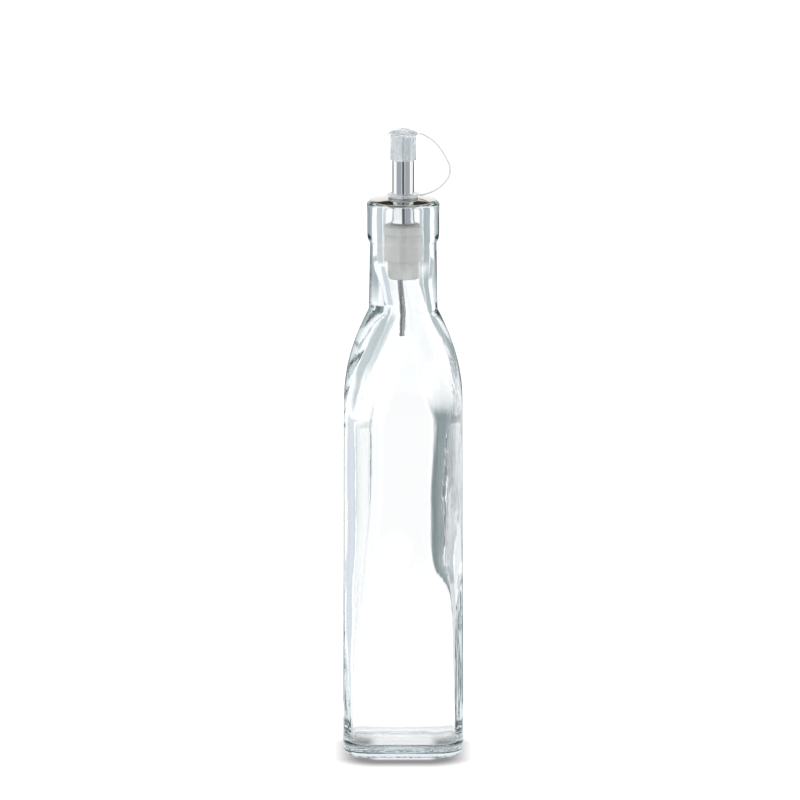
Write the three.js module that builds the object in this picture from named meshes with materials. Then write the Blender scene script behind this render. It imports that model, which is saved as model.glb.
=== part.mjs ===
// A square glass oil bottle with a push-in pourer: glass bottle, ribbed stopper, polished spout tube
// with its drip disc and vent tube, and a soft cap tied to the spout by a strap and a swivel ring.
// Millimetres, +Z up. The origin is the middle of the base, on the surface that the bottle stands on.
import * as THREE from "three";

// ---------- Glass bottle ----------
const BODY_WIDTH = 60; // across the flats, just above the heel
const BODY_TAPER = 0.8; // how much less it measures at the shoulder
const BODY_HEIGHT = 173; // base to the start of the shoulder
const CORNER_RADIUS = 13; // upright corners of the body
const HEEL_RADIUS = 4.5; // edge between the body and the base
const BEARING_WIDTH = 4; // flat rim that the bottle stands on
const PUNT_DEPTH = 2; // hollow in the middle of the base
const SHOULDER_RADIUS = 104; // long convex curve from the body to the neck
const NECK_ROOT_RADIUS = 4; // small concave curve where the shoulder meets the neck
const NECK_DIAMETER = 34.4; // at the root
const NECK_TOP_DIAMETER = 33.2; // under the band
const NECK_LENGTH = 33.25; // root to the underside of the band
const BAND_DIAMETER = 36; // thick ring round the mouth
const BAND_HEIGHT = 20;
const BAND_BEVEL = 2; // lower edge of the band
const LIP_RADIUS = 1.6; // upper edge of the band

const SIDE_WALL = 3.9; // glass in the flats of the body
const FLOOR_THICKNESS = 6; // glass under the contents, at the edge of the floor
const INSIDE_CORNER_RADIUS = 10;
const INSIDE_HEEL_RADIUS = 6;
const INSIDE_SHOULDER_DROP = 8; // how far the inner shoulder starts below the outer one
const INSIDE_SHOULDER_RADIUS = 95;
const THROAT_ROOT_RADIUS = 26; // concave curve from the inner shoulder to the throat
const THROAT_BORE = 16.8; // narrow stretch below the stopper's ribs
const MOUTH_BORE = 19.8; // stretch that the ribs seal in
const MOUTH_DEPTH = 30; // lip to the end of the mouth bore
const BORE_TAPER = 4; // height of the cone between the two bores
const MOUTH_RADIUS = 0.8; // rounded inner edge of the lip

// ---------- Pourer ----------
const RIB_CLEARANCE = 0.15; // rib to mouth bore
const PLUG_CLEARANCE = 0.4; // plug to throat
const PRESS_GAP = 0.1; // between pieces pressed together
const SEAT_GAP = 0.12; // between pieces resting on each other

const SPOUT_DIAMETER = 10.8;
const SPOUT_WALL = 0.5;
const SPOUT_RISE = 31.3; // drip disc to the mouth of the spout
const BEAD_HEIGHT = 2; // swaged bead that stops the tube on the stopper
const BEAD_STAND = 0.5; // how far the bead stands out of the tube

const STOPPER_DEPTH = 11; // lip to the top of the stopper
const STOPPER_RIM = 0.8; // chamfer on the stopper's top edge
const RIB_HEIGHTS = [4.1, 8.7]; // from the top one down
const RIB_DEPTH = 0.6; // how far the stopper is waisted between its ribs
const RIB_SLOPE = 0.4; // height of each rib's sloping sides
const RIB_MARGIN = 1; // lowest rib to the end of the mouth bore
const PLUG_LENGTH = 9.3; // smooth nose below the ribs
const PLUG_CHAMFER = 0.6;

const DISC_DIAMETER = 33; // polished cover that rests on the lip
const DISC_THICKNESS = 0.7;
const DISC_DOME_RADIUS = 90;

const VENT_DIAMETER = 3;
const VENT_WALL = 0.4;
const VENT_REACH = 29.6; // below the nose of the stopper
const VENT_TO_MOUTH = 5; // top of the vent tube to the mouth of the spout
const VENT_TURN = 132; // degrees round the spout, from +X
const BRAZE_GAP = 0.2; // vent tube to the wall of the spout

// ---------- Cap and tether ----------
const CAP_CLEARANCE = 0.1; // cap skirt to spout
const CAP_WALL = 0.95;
const CAP_SKIRT = 12.9; // underside of the flange to the open end
const CAP_AIR = 0.6; // mouth of the spout to the inside of the cap
const CAP_FLANGE = 1.15; // how far the flange stands out of the skirt
const CAP_FLANGE_THICKNESS = 0.7;
const CAP_DOME = 2.4; // rise of the top above the flange
const CAP_EDGE = 0.4; // rounding of the open end

const RING_CLEARANCE = 0.15; // swivel ring to spout
const RING_WIDTH = 2.3;
const RING_THICKNESS = 1.7;
const RING_EDGE = 0.4;

const STRAP_WIDTH = 1.4;
const STRAP_THICKNESS = 0.9;
const STRAP_REACH = 23; // axis of the spout to the middle of the strap at its widest
const STRAP_GAP = 0.15; // ends of the strap to the cap and the ring
// The bow of the strap: share of its reach, then share of the height from the ring to the cap.
const STRAP_BOW = [
  [0.187, 0.013],
  [0.487, 0.07],
  [0.747, 0.16],
  [0.947, 0.288],
  [1, 0.415],
  [0.947, 0.527],
  [0.747, 0.706],
  [0.487, 0.866],
  [0.153, 0.978],
];

// ---------- Fineness ----------
const SEGMENTS = 48; // sides of each turned piece; a multiple of 4, so the flats face X and Y
const VENT_SEGMENTS = 16;
const STRAP_STEPS = 34;
const HALF_STEP = Math.PI / SEGMENTS;

// ---------- Derived sizes ----------
const bodyBaseHalf = BODY_WIDTH / 2;
const bodyTopHalf = (BODY_WIDTH - BODY_TAPER) / 2;
const neckRoot = rootCentre(bodyTopHalf, BODY_HEIGHT, SHOULDER_RADIUS, NECK_DIAMETER / 2, NECK_ROOT_RADIUS);
const bandBottom = neckRoot.y + NECK_LENGTH;
const lipTop = bandBottom + BAND_HEIGHT;
const mouthBoreEnd = lipTop - MOUTH_DEPTH;

const stopperTop = lipTop - STOPPER_DEPTH;
const ribZoneBottom = mouthBoreEnd + RIB_MARGIN;
const plugBottom = ribZoneBottom - PLUG_LENGTH;
const ribRadius = MOUTH_BORE / 2 - RIB_CLEARANCE;
const plugRadius = THROAT_BORE / 2 - PLUG_CLEARANCE;

const spoutRadius = SPOUT_DIAMETER / 2;
const spoutBore = spoutRadius - SPOUT_WALL;
const socketRadius = spoutRadius + PRESS_GAP;
const discEdge = lipTop + SEAT_GAP;
const discCrown = discEdge + DISC_THICKNESS + domeDrop(DISC_DOME_RADIUS, DISC_DIAMETER / 2, socketRadius);
const spoutMouth = discCrown + SPOUT_RISE - DISC_THICKNESS;

const ringBottom = discCrown + SEAT_GAP;
const ringMiddle = ringBottom + RING_THICKNESS / 2;
const ringInner = spoutRadius + RING_CLEARANCE;
const ringOuter = ringInner + RING_WIDTH;

const capBore = spoutRadius + CAP_CLEARANCE;
const skirtRadius = capBore + CAP_WALL;
const flangeRadius = skirtRadius + CAP_FLANGE;
const capInside = spoutMouth + CAP_AIR;
const flangeBottom = capInside + CAP_FLANGE_THICKNESS / 2;
const flangeTop = flangeBottom + CAP_FLANGE_THICKNESS;
const flangeMiddle = (flangeBottom + flangeTop) / 2;

// ---------- Outlines ----------
// Points on an arc about (r, z), from one angle to another, in degrees.
function arc(r, z, radius, from, to, steps) {
  return Array.from({ length: steps + 1 }, (_, i) => {
    const angle = THREE.MathUtils.degToRad(from + ((to - from) * i) / steps);
    return new THREE.Vector2(r + radius * Math.cos(angle), z + radius * Math.sin(angle));
  });
}

const point = (r, z) => new THREE.Vector2(r, z);

// Centre of the concave arc that joins a convex shoulder arc to a neck.
function rootCentre(wallHalf, startZ, shoulderRadius, neckHalf, rootRadius) {
  const across = neckHalf + rootRadius - (wallHalf - shoulderRadius);
  const along = Math.sqrt((shoulderRadius + rootRadius) ** 2 - across ** 2);
  return new THREE.Vector2(neckHalf + rootRadius, startZ + along);
}

// How far a dome of that sphere radius falls between two distances from its axis.
function domeDrop(sphereRadius, outer, inner) {
  return Math.sqrt(sphereRadius ** 2 - inner ** 2) - Math.sqrt(sphereRadius ** 2 - outer ** 2);
}

// The shoulder from the body wall up to the neck: a convex arc, then a concave one, tangent to each other.
function shoulder(wallHalf, startZ, shoulderRadius, neckHalf, rootRadius) {
  const root = rootCentre(wallHalf, startZ, shoulderRadius, neckHalf, rootRadius);
  const centre = new THREE.Vector2(wallHalf - shoulderRadius, startZ);
  const turn = THREE.MathUtils.radToDeg(root.clone().sub(centre).angle());
  return [
    ...arc(centre.x, centre.y, shoulderRadius, 0, turn, 8),
    ...arc(root.x, root.y, rootRadius, 180 + turn, 180, 3).slice(1),
  ];
}

// ---------- Solids ----------
// Turns an outline (distance from the axis, height) about +Z. The outside of the outline runs upwards.
function turned(outline, segments = SEGMENTS) {
  const geometry = new THREE.LatheGeometry(outline, segments, Math.PI / segments);
  return geometry.rotateX(Math.PI / 2);
}

// The same for rounded squares: each ring has its own corner radius, and its four quarters are moved apart.
function turnedSquare(rings) {
  const geometry = turned(rings.map((ring) => point(ring.corner, ring.z)));
  const position = geometry.getAttribute("position");
  for (let i = 0; i < position.count; i++) {
    const ring = rings[i % rings.length];
    const spread = Math.max(0, ring.half - ring.corner * Math.cos(HALF_STEP));
    position.setX(i, position.getX(i) + Math.sign(position.getX(i)) * spread);
    position.setY(i, position.getY(i) + Math.sign(position.getY(i)) * spread);
  }
  return geometry;
}

const closed = (outline) => [...outline, outline[0].clone()];

// ---------- Glass bottle ----------
// Share of roundness at a height: 0 where the section is square, 1 where it is a circle.
function roundness(z, squareBelow, roundAbove) {
  return THREE.MathUtils.smoothstep(z, squareBelow, roundAbove);
}

function ringsOf(outline, cornerRadius, squareBelow, roundAbove) {
  return outline.map(({ x: half, y: z }) => {
    const share = roundness(z, squareBelow, roundAbove);
    const corner = THREE.MathUtils.lerp(Math.min(cornerRadius, half), half, share);
    return { half, z, corner };
  });
}

function bottleOutside() {
  const base = bodyBaseHalf - HEEL_RADIUS;
  const heelCorner = CORNER_RADIUS - HEEL_RADIUS;
  const bearingInner = base - BEARING_WIDTH;
  const under = [
    { half: 0, z: PUNT_DEPTH, corner: 0 },
    { half: bearingInner * 0.4, z: PUNT_DEPTH * 0.85, corner: bearingInner * 0.4 },
    { half: bearingInner * 0.75, z: PUNT_DEPTH * 0.4, corner: bearingInner * 0.6 },
    { half: bearingInner, z: 0, corner: heelCorner },
  ];
  const heel = arc(base, HEEL_RADIUS, HEEL_RADIUS, -90, 0, 4).map(({ x, y }) => ({
    half: x,
    z: y,
    corner: heelCorner + x - base,
  }));
  const wall = [
    point(THREE.MathUtils.lerp(bodyBaseHalf, bodyTopHalf, 0.5), BODY_HEIGHT / 2),
    ...shoulder(bodyTopHalf, BODY_HEIGHT, SHOULDER_RADIUS, NECK_DIAMETER / 2, NECK_ROOT_RADIUS),
  ];
  const bandRadius = BAND_DIAMETER / 2;
  const neckTop = NECK_TOP_DIAMETER / 2;
  const finish = [
    point(neckTop, bandBottom),
    point(bandRadius - BAND_BEVEL / 3, bandBottom + BAND_BEVEL / 2),
    point(bandRadius, bandBottom + BAND_BEVEL),
    ...arc(bandRadius - LIP_RADIUS, lipTop - LIP_RADIUS, LIP_RADIUS, 0, 90, 3),
  ];
  const squareBelow = BODY_HEIGHT - 8;
  return [
    ...under,
    ...heel,
    ...ringsOf(wall, CORNER_RADIUS, squareBelow, neckRoot.y - NECK_ROOT_RADIUS / 2),
    ...ringsOf(finish, bandRadius, 0, 1),
  ];
}

function bottleInside() {
  const baseHalf = bodyBaseHalf - SIDE_WALL;
  const topHalf = bodyTopHalf - SIDE_WALL;
  const shoulderStart = BODY_HEIGHT - INSIDE_SHOULDER_DROP;
  const throat = THROAT_BORE / 2;
  const mouth = MOUTH_BORE / 2;
  const heelHalf = baseHalf - INSIDE_HEEL_RADIUS;
  const heelCorner = INSIDE_CORNER_RADIUS - INSIDE_HEEL_RADIUS;
  const heelTop = FLOOR_THICKNESS + INSIDE_HEEL_RADIUS;
  const floor = [
    { half: 0, z: FLOOR_THICKNESS + PUNT_DEPTH / 2, corner: 0 },
    { half: heelHalf / 2, z: FLOOR_THICKNESS + PUNT_DEPTH / 3, corner: heelHalf / 2 },
  ];
  const heel = arc(heelHalf, heelTop, INSIDE_HEEL_RADIUS, -90, 0, 3).map(({ x, y }) => ({
    half: x,
    z: y,
    corner: heelCorner + x - heelHalf,
  }));
  const curve = shoulder(topHalf, shoulderStart, INSIDE_SHOULDER_RADIUS, throat, THROAT_ROOT_RADIUS);
  const wall = [point((baseHalf + topHalf) / 2, shoulderStart / 2), ...curve];
  const bore = [
    point(throat, mouthBoreEnd - BORE_TAPER),
    point(mouth, mouthBoreEnd),
    ...arc(mouth + MOUTH_RADIUS, lipTop - MOUTH_RADIUS, MOUTH_RADIUS, 180, 90, 2),
  ];
  const squareBelow = shoulderStart - 8;
  return [
    ...floor,
    ...heel,
    ...ringsOf(wall, INSIDE_CORNER_RADIUS, squareBelow, curve.at(-1).y),
    ...ringsOf(bore, mouth, 0, 1),
  ];
}

function glassBottle() {
  return turnedSquare([...bottleOutside(), ...bottleInside().reverse()]);
}

// ---------- Pourer ----------
// Two sealing ribs with a waist between them, a smooth nose, a socket for the spout and a channel of the spout's bore.
function stopper() {
  const waist = ribRadius - RIB_DEPTH;
  const ribZone = stopperTop - STOPPER_RIM - ribZoneBottom;
  const ribTotal = RIB_HEIGHTS.reduce((sum, height) => sum + height, 0);
  const pitchGap = (ribZone - ribTotal) / (RIB_HEIGHTS.length - 1);
  const ribs = [];
  let top = stopperTop - STOPPER_RIM;
  for (const height of RIB_HEIGHTS) {
    const bottom = top - height;
    ribs.unshift(
      point(waist, bottom - RIB_SLOPE),
      point(ribRadius, bottom),
      point(ribRadius, top),
      point(waist, top + RIB_SLOPE),
    );
    top = bottom - pitchGap;
  }
  const outside = [
    point(plugRadius - PLUG_CHAMFER, plugBottom),
    point(plugRadius, plugBottom + PLUG_CHAMFER),
    point(plugRadius, ribZoneBottom - RIB_SLOPE),
    ...ribs.slice(1, -1),
    point(ribRadius - STOPPER_RIM, stopperTop),
  ];
  const inside = [
    point(socketRadius, stopperTop),
    point(socketRadius, ribZoneBottom - SEAT_GAP),
    point(spoutBore, ribZoneBottom - SEAT_GAP),
    point(spoutBore, plugBottom),
  ];
  return turned(closed([...outside, ...inside]));
}

function spoutTube() {
  const bottom = ribZoneBottom;
  const beadBottom = stopperTop + SEAT_GAP;
  const bead = arc(spoutRadius, beadBottom + BEAD_HEIGHT / 2, BEAD_HEIGHT / 2, -90, 90, 4);
  const flatten = BEAD_STAND / (BEAD_HEIGHT / 2);
  const outside = [
    point(spoutRadius, bottom),
    ...bead.map(({ x, y }) => point(spoutRadius + (x - spoutRadius) * flatten, y)),
    point(spoutRadius, spoutMouth - SPOUT_WALL / 2),
    point(spoutRadius - SPOUT_WALL / 2, spoutMouth),
  ];
  const inside = [point(spoutBore, spoutMouth - SPOUT_WALL / 2), point(spoutBore, bottom)];
  return turned(closed([...outside, ...inside]));
}

function dripDisc() {
  const edge = DISC_DIAMETER / 2;
  const sphere = DISC_DOME_RADIUS;
  const height = (r) => Math.sqrt(sphere ** 2 - r ** 2) - Math.sqrt(sphere ** 2 - edge ** 2);
  const steps = 5;
  const radii = Array.from({ length: steps + 1 }, (_, i) => {
    return THREE.MathUtils.lerp(edge - DISC_THICKNESS / 2, socketRadius, i / steps);
  });
  const above = radii.map((r) => point(r, discEdge + DISC_THICKNESS + height(r)));
  const below = radii.map((r) => point(r, discEdge + height(r))).reverse();
  const rim = point(edge, discEdge + DISC_THICKNESS / 2);
  return turned(closed([...below, rim, ...above]));
}

function ventTube() {
  const outer = VENT_DIAMETER / 2;
  const inner = outer - VENT_WALL;
  const bottom = plugBottom - VENT_REACH;
  const top = spoutMouth - VENT_TO_MOUTH;
  const outline = [point(outer, bottom), point(outer, top), point(inner, top), point(inner, bottom)];
  return turned(closed(outline), VENT_SEGMENTS);
}

// ---------- Cap and tether ----------
function spoutCap() {
  const open = flangeBottom - CAP_SKIRT;
  const dome = (CAP_DOME ** 2 + flangeRadius ** 2) / (2 * CAP_DOME);
  const spread = THREE.MathUtils.radToDeg(Math.asin(flangeRadius / dome));
  const crown = flangeTop + CAP_DOME;
  const outside = [
    point(capBore, open),
    point(skirtRadius - CAP_EDGE, open),
    point(skirtRadius, open + CAP_EDGE),
    point(skirtRadius, flangeBottom),
    point(flangeRadius, flangeBottom),
    ...arc(0, crown - dome, dome, 90 - spread, 90, 6),
  ];
  const inside = [point(0, capInside), point(capBore, capInside), point(capBore, open)];
  outside.at(-1).x = 0;
  return turned([...outside, ...inside]);
}

function tetherRing() {
  const outline = [
    point(ringInner + RING_EDGE, ringBottom),
    point(ringOuter - RING_EDGE, ringBottom),
    point(ringOuter, ringBottom + RING_EDGE),
    point(ringOuter, ringBottom + RING_THICKNESS - RING_EDGE),
    point(ringOuter - RING_EDGE, ringBottom + RING_THICKNESS),
    point(ringInner + RING_EDGE, ringBottom + RING_THICKNESS),
    point(ringInner, ringBottom + RING_THICKNESS - RING_EDGE),
    point(ringInner, ringBottom + RING_EDGE),
  ];
  return turned(closed(outline));
}

function tetherStrap() {
  const start = ringOuter + STRAP_GAP;
  const rise = flangeMiddle - ringMiddle;
  const ends = [new THREE.Vector3(start, 0, ringMiddle), new THREE.Vector3(flangeRadius + STRAP_GAP, 0, flangeMiddle)];
  const bow = STRAP_BOW.map(([out, up]) => {
    return new THREE.Vector3(start + (STRAP_REACH - start) * out, 0, ringMiddle + rise * up);
  });
  const path = new THREE.CatmullRomCurve3([ends[0], ...bow, ends[1]]);
  const section = new THREE.Shape().absellipse(0, 0, STRAP_THICKNESS / 2, STRAP_WIDTH / 2, 0, Math.PI * 2);
  return new THREE.ExtrudeGeometry(section, { steps: STRAP_STEPS, curveSegments: 4, extrudePath: path });
}

// ---------- Materials ----------
const glass = new THREE.MeshStandardMaterial({
  color: 0xe4eeec,
  roughness: 0.03,
  metalness: 0,
  transparent: true,
  opacity: 0.35,
});
const stopperPlastic = new THREE.MeshStandardMaterial({ color: 0xdcdedb, roughness: 0.5, metalness: 0 });
const polishedSteel = new THREE.MeshStandardMaterial({ color: 0xc2c5c7, roughness: 0.12, metalness: 1 });
const capPlastic = new THREE.MeshStandardMaterial({ color: 0xcdd2d6, roughness: 0.4, metalness: 0 });

// ---------- Assembly ----------
const bottle = new THREE.Group();

function add(name, geometry, material) {
  const mesh = new THREE.Mesh(geometry, material);
  mesh.name = name;
  bottle.add(mesh);
  return mesh;
}

add("glass_bottle", glassBottle(), glass);
add("stopper", stopper(), stopperPlastic);
add("spout_tube", spoutTube(), polishedSteel);
add("drip_disc", dripDisc(), polishedSteel);
add("tether_ring", tetherRing(), capPlastic);
add("tether_strap", tetherStrap(), capPlastic);
add("spout_cap", spoutCap(), capPlastic);

// The vent tube is brazed to one side of the spout's bore.
const vent = add("vent_tube", ventTube(), polishedSteel);
const ventOffset = spoutBore - VENT_DIAMETER / 2 - BRAZE_GAP;
const ventTurn = THREE.MathUtils.degToRad(VENT_TURN);
vent.position.set(ventOffset * Math.cos(ventTurn), ventOffset * Math.sin(ventTurn), 0);

export default bottle;
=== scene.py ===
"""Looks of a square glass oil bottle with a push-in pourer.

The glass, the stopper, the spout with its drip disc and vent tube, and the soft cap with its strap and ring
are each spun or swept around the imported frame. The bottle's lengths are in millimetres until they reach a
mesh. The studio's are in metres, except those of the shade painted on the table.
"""
import math

import bmesh
import bpy
from mathutils import Matrix, Vector, noise


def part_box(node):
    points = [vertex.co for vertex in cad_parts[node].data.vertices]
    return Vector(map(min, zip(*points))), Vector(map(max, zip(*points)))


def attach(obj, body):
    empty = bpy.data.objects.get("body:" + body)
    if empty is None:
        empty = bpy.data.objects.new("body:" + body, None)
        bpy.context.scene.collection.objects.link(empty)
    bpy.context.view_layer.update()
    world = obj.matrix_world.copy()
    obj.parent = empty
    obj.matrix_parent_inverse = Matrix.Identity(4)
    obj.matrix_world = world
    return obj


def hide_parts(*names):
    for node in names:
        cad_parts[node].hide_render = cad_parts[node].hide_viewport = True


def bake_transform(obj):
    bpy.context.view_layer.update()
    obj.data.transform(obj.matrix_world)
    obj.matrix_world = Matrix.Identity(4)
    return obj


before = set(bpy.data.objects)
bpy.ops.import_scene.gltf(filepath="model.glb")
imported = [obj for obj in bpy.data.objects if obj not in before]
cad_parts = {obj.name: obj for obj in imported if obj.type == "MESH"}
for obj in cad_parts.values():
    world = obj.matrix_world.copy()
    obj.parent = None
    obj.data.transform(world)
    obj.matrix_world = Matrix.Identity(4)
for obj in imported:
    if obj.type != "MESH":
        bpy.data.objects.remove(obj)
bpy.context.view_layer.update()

MM = 0.001
UP = Vector((0, 0, 1))
MERGED_WITHIN = 0.002


# ---------- Sizes taken from the frame ----------
def reach(node):
    """Radius, underside and top of a turned CAD node, in millimetres."""
    low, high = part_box(node)
    return (high.y - low.y) / 2 / MM, low.z / MM, high.z / MM


BODY_HALF, _, LIP_Z = reach("glass_bottle")
STOPPER_R, STOPPER_BOTTOM, STOPPER_TOP = reach("stopper")
BEAD_R, SPOUT_BOTTOM, SPOUT_MOUTH = reach("spout_tube")
DISC_R, DISC_EDGE, DISC_CROWN = reach("drip_disc")
VENT_R, VENT_BOTTOM, VENT_TOP = reach("vent_tube")
RING_R, RING_BOTTOM, RING_TOP = reach("tether_ring")
FLANGE_R, CAP_OPEN, CAP_CROWN = reach("spout_cap")
STRAP_HALF_WIDTH, _, _ = reach("tether_strap")
VENT_LOW, VENT_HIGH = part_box("vent_tube")
VENT_AXIS = (VENT_LOW + VENT_HIGH) / 2 / MM
STRAP_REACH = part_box("tether_strap")[1].x / MM

# ---------- Glass ----------
BODY_TAPER = 0.4
BODY_HEIGHT = 173
CORNER_R = 13
HEEL_R = 4.5
BEARING_WIDTH = 4
PUNT = 2
PUNT_SHARES = (0.25, 0.5, 0.7, 0.85, 0.95)
SHOULDER_R = 104
NECK_ROOT_R = 4
NECK_ROOT_HALF = 17.2
NECK_TOP_HALF = 16.6
BAND_HALF = 18
BAND_HEIGHT = 20
BAND_BEVEL = 3
LIP_R = 1.6
WALL = 3.9
FLOOR = 6
FLOOR_CROWN = 1
INSIDE_CORNER_R = 10
INSIDE_HEEL_R = 6
INSIDE_SHOULDER_START = 165
INSIDE_SHOULDER_R = 95
THROAT_ROOT_R = 26
THROAT_HALF = 8.4
MOUTH_HALF = 9.9
MOUTH_DEPTH = 30
BORE_TAPER = 12
MOUTH_R = 0.8
# Corner radius of the inside, by height. It is nearly square at the floor and rounder higher up. The left
# side gets round lower down than the right one.
INSIDE_CORNER_LEFT = [(12, 4), (44, 8), (65, 11.5), (100, 13), (135, 15), (166, 14.5), (186, 15)]
INSIDE_CORNER_RIGHT = [
    (12, 1.5), (37, 2.8), (65, 4.3), (84, 7), (97, 14), (125, 15), (150, 14), (166, 13.4), (186, 15),
]
INSIDE_ROUNDING = 45
# How far the inside stands to the right of the outside's middle, by height.
INSIDE_OFFSET = [(84, 0), (125, 1), (166, 1.2), (186, 2), (206, 2.7), (218, 2.6), (246, 0)]
GLASS_SIDES = 96
# Height of the waves and streaks in the glass, and how far apart the waves come.
GLASS_WAVE = 0.10
GLASS_WAVE_LENGTH = 30
GLASS_WAVE_SEED = 9.1
GLASS_STREAK = 0.08
GLASS_STREAK_SEED = 1.9
INSIDE_WAVE = 0.45
INSIDE_WAVE_LENGTH = 26
INSIDE_WAVE_SEED = 3.7
INSIDE_STREAK = 0.18
INSIDE_STREAK_SEED = 5.3
BORE_WAVE = 0.5
BORE_WAVE_LENGTH = 9
BORE_WAVE_SEED = 2.3
STREAK_LENGTH = 40
# The bore's waves begin at the first depth under the lip and take over from the inside's at the second.
BORE_WAVES_FROM = 40
BORE_WAVES_FULL = 33


# ---------- Outlines ----------
def arc(r, z, radius, start, end, steps):
    """Points on an arc about (r, z), from one angle to another in degrees."""
    turns = [math.radians(start + (end - start) * i / steps) for i in range(steps + 1)]
    return [(r + radius * math.cos(t), z + radius * math.sin(t)) for t in turns]


def straight(start, end, steps):
    """Points between two, without the first one."""
    return [
        (start[0] + (end[0] - start[0]) * i / steps, start[1] + (end[1] - start[1]) * i / steps)
        for i in range(1, steps + 1)
    ]


def smoothstep(value, low, high):
    share = min(1.0, max(0.0, (value - low) / (high - low)))
    return share * share * (3 - 2 * share)


def along(points, height):
    """The value of a given run of (height, value) pairs at a height, eased between its points."""
    if height <= points[0][0]:
        return points[0][1]
    for (z0, v0), (z1, v1) in zip(points, points[1:]):
        if height <= z1:
            return v0 + (v1 - v0) * smoothstep(height, z0, z1)
    return points[-1][1]


def root_centre(wall, start, shoulder_r, neck, root_r):
    """Centre of the hollow curve between a shoulder's arc and a neck."""
    across = neck + root_r - (wall - shoulder_r)
    return neck + root_r, start + math.sqrt((shoulder_r + root_r) ** 2 - across**2)


def shoulder(wall, start, shoulder_r, neck, root_r, steps):
    """A shoulder's convex arc, then the hollow arc that runs into the neck."""
    r, z = root_centre(wall, start, shoulder_r, neck, root_r)
    turn = math.degrees(math.atan2(z - start, r - (wall - shoulder_r)))
    convex = arc(wall - shoulder_r, start, shoulder_r, 0, turn, steps)
    return convex + arc(r, z, root_r, 180 + turn, 180, 8)[1:]


# ---------- Solids ----------
def piece(bm, name, material, body, slot, *nodes):
    """Turns a bmesh in millimetres into a piece that rides on a body and stands for CAD nodes.

    A piece that bends between two bodies is given none.
    """
    bmesh.ops.remove_doubles(bm, verts=bm.verts, dist=MERGED_WITHIN)
    bmesh.ops.recalc_face_normals(bm, faces=bm.faces)
    bmesh.ops.scale(bm, vec=Vector((MM, MM, MM)), verts=bm.verts)
    mesh = bpy.data.meshes.new(name)
    bm.to_mesh(mesh)
    bm.free()
    mesh.polygons.foreach_set("use_smooth", [True] * len(mesh.polygons))
    made = bpy.data.objects.new(name, mesh)
    bpy.context.scene.collection.objects.link(made)
    made.data.materials.append(material)
    if body:
        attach(made, body)
    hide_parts(*nodes)
    return made


def spun(outline, sides, closed=True):
    """Spins an outline of (radius, height) about Z. Each vertex keeps the number of its point."""
    bm = bmesh.new()
    point = bm.verts.layers.int.new("point")
    verts = []
    for i, (r, z) in enumerate(outline):
        vert = bm.verts.new((r, 0, z))
        vert[point] = i
        verts.append(vert)
    edges = [bm.edges.new(pair) for pair in zip(verts, verts[1:])]
    if closed:
        edges.append(bm.edges.new((verts[-1], verts[0])))
    bmesh.ops.spin(
        bm, geom=verts + edges, cent=(0, 0, 0), axis=UP, angle=math.tau, steps=sides, use_merge=True
    )
    return bm


def smooth(made, levels):
    """Rounds a piece off with a subdivision surface."""
    modifier = made.modifiers.new("rounded", "SUBSURF")
    modifier.levels = levels
    modifier.render_levels = levels


# ---------- Glass bottle ----------
def glass_outside():
    """Outside of the glass from the middle of its base to the lip: half width, height and corner radius."""
    base = BODY_HALF - HEEL_R
    corner = CORNER_R - HEEL_R
    inner = base - BEARING_WIDTH
    rings = [(0, PUNT, 0)]
    for share in PUNT_SHARES:
        z = PUNT * math.cos(share * math.pi / 2)
        rings.append((inner * share, z, inner * share * 0.6 + corner * 0.2))
    rings.append((inner, 0, corner))
    rings.append(((inner + base) / 2, 0, corner))
    rings += [(r, z, corner + r - base) for r, z in arc(base, HEEL_R, HEEL_R, -90, 0, 8)]
    top = BODY_HALF - BODY_TAPER
    wall = straight((BODY_HALF, HEEL_R), (top, BODY_HEIGHT), 22)[:-1]
    curve = shoulder(top, BODY_HEIGHT, SHOULDER_R, NECK_ROOT_HALF, NECK_ROOT_R, 16)
    round_z = curve[-1][1] - NECK_ROOT_R / 2
    for half, z in wall + curve:
        share = smoothstep(z, BODY_HEIGHT - 8, round_z)
        rings.append((half, z, CORNER_R + (half - CORNER_R) * share))
    band = LIP_Z - BAND_HEIGHT
    finish = straight(curve[-1], (NECK_TOP_HALF, band - 0.6), 8)
    finish += [(NECK_TOP_HALF + 0.1, band - 0.1), (NECK_TOP_HALF + 0.45, band + 0.15)]
    finish += [(BAND_HALF - 0.5, band + BAND_BEVEL * 0.3), (BAND_HALF - 0.12, band + BAND_BEVEL * 0.65)]
    finish.append((BAND_HALF, band + BAND_BEVEL * 1.4))
    finish += straight((BAND_HALF, band + BAND_BEVEL * 1.4), (BAND_HALF, LIP_Z - LIP_R), 4)[:-1]
    finish += arc(BAND_HALF - LIP_R, LIP_Z - LIP_R, LIP_R, 0, 90, 6)
    return rings + [(half, z, half) for half, z in finish]


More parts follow.
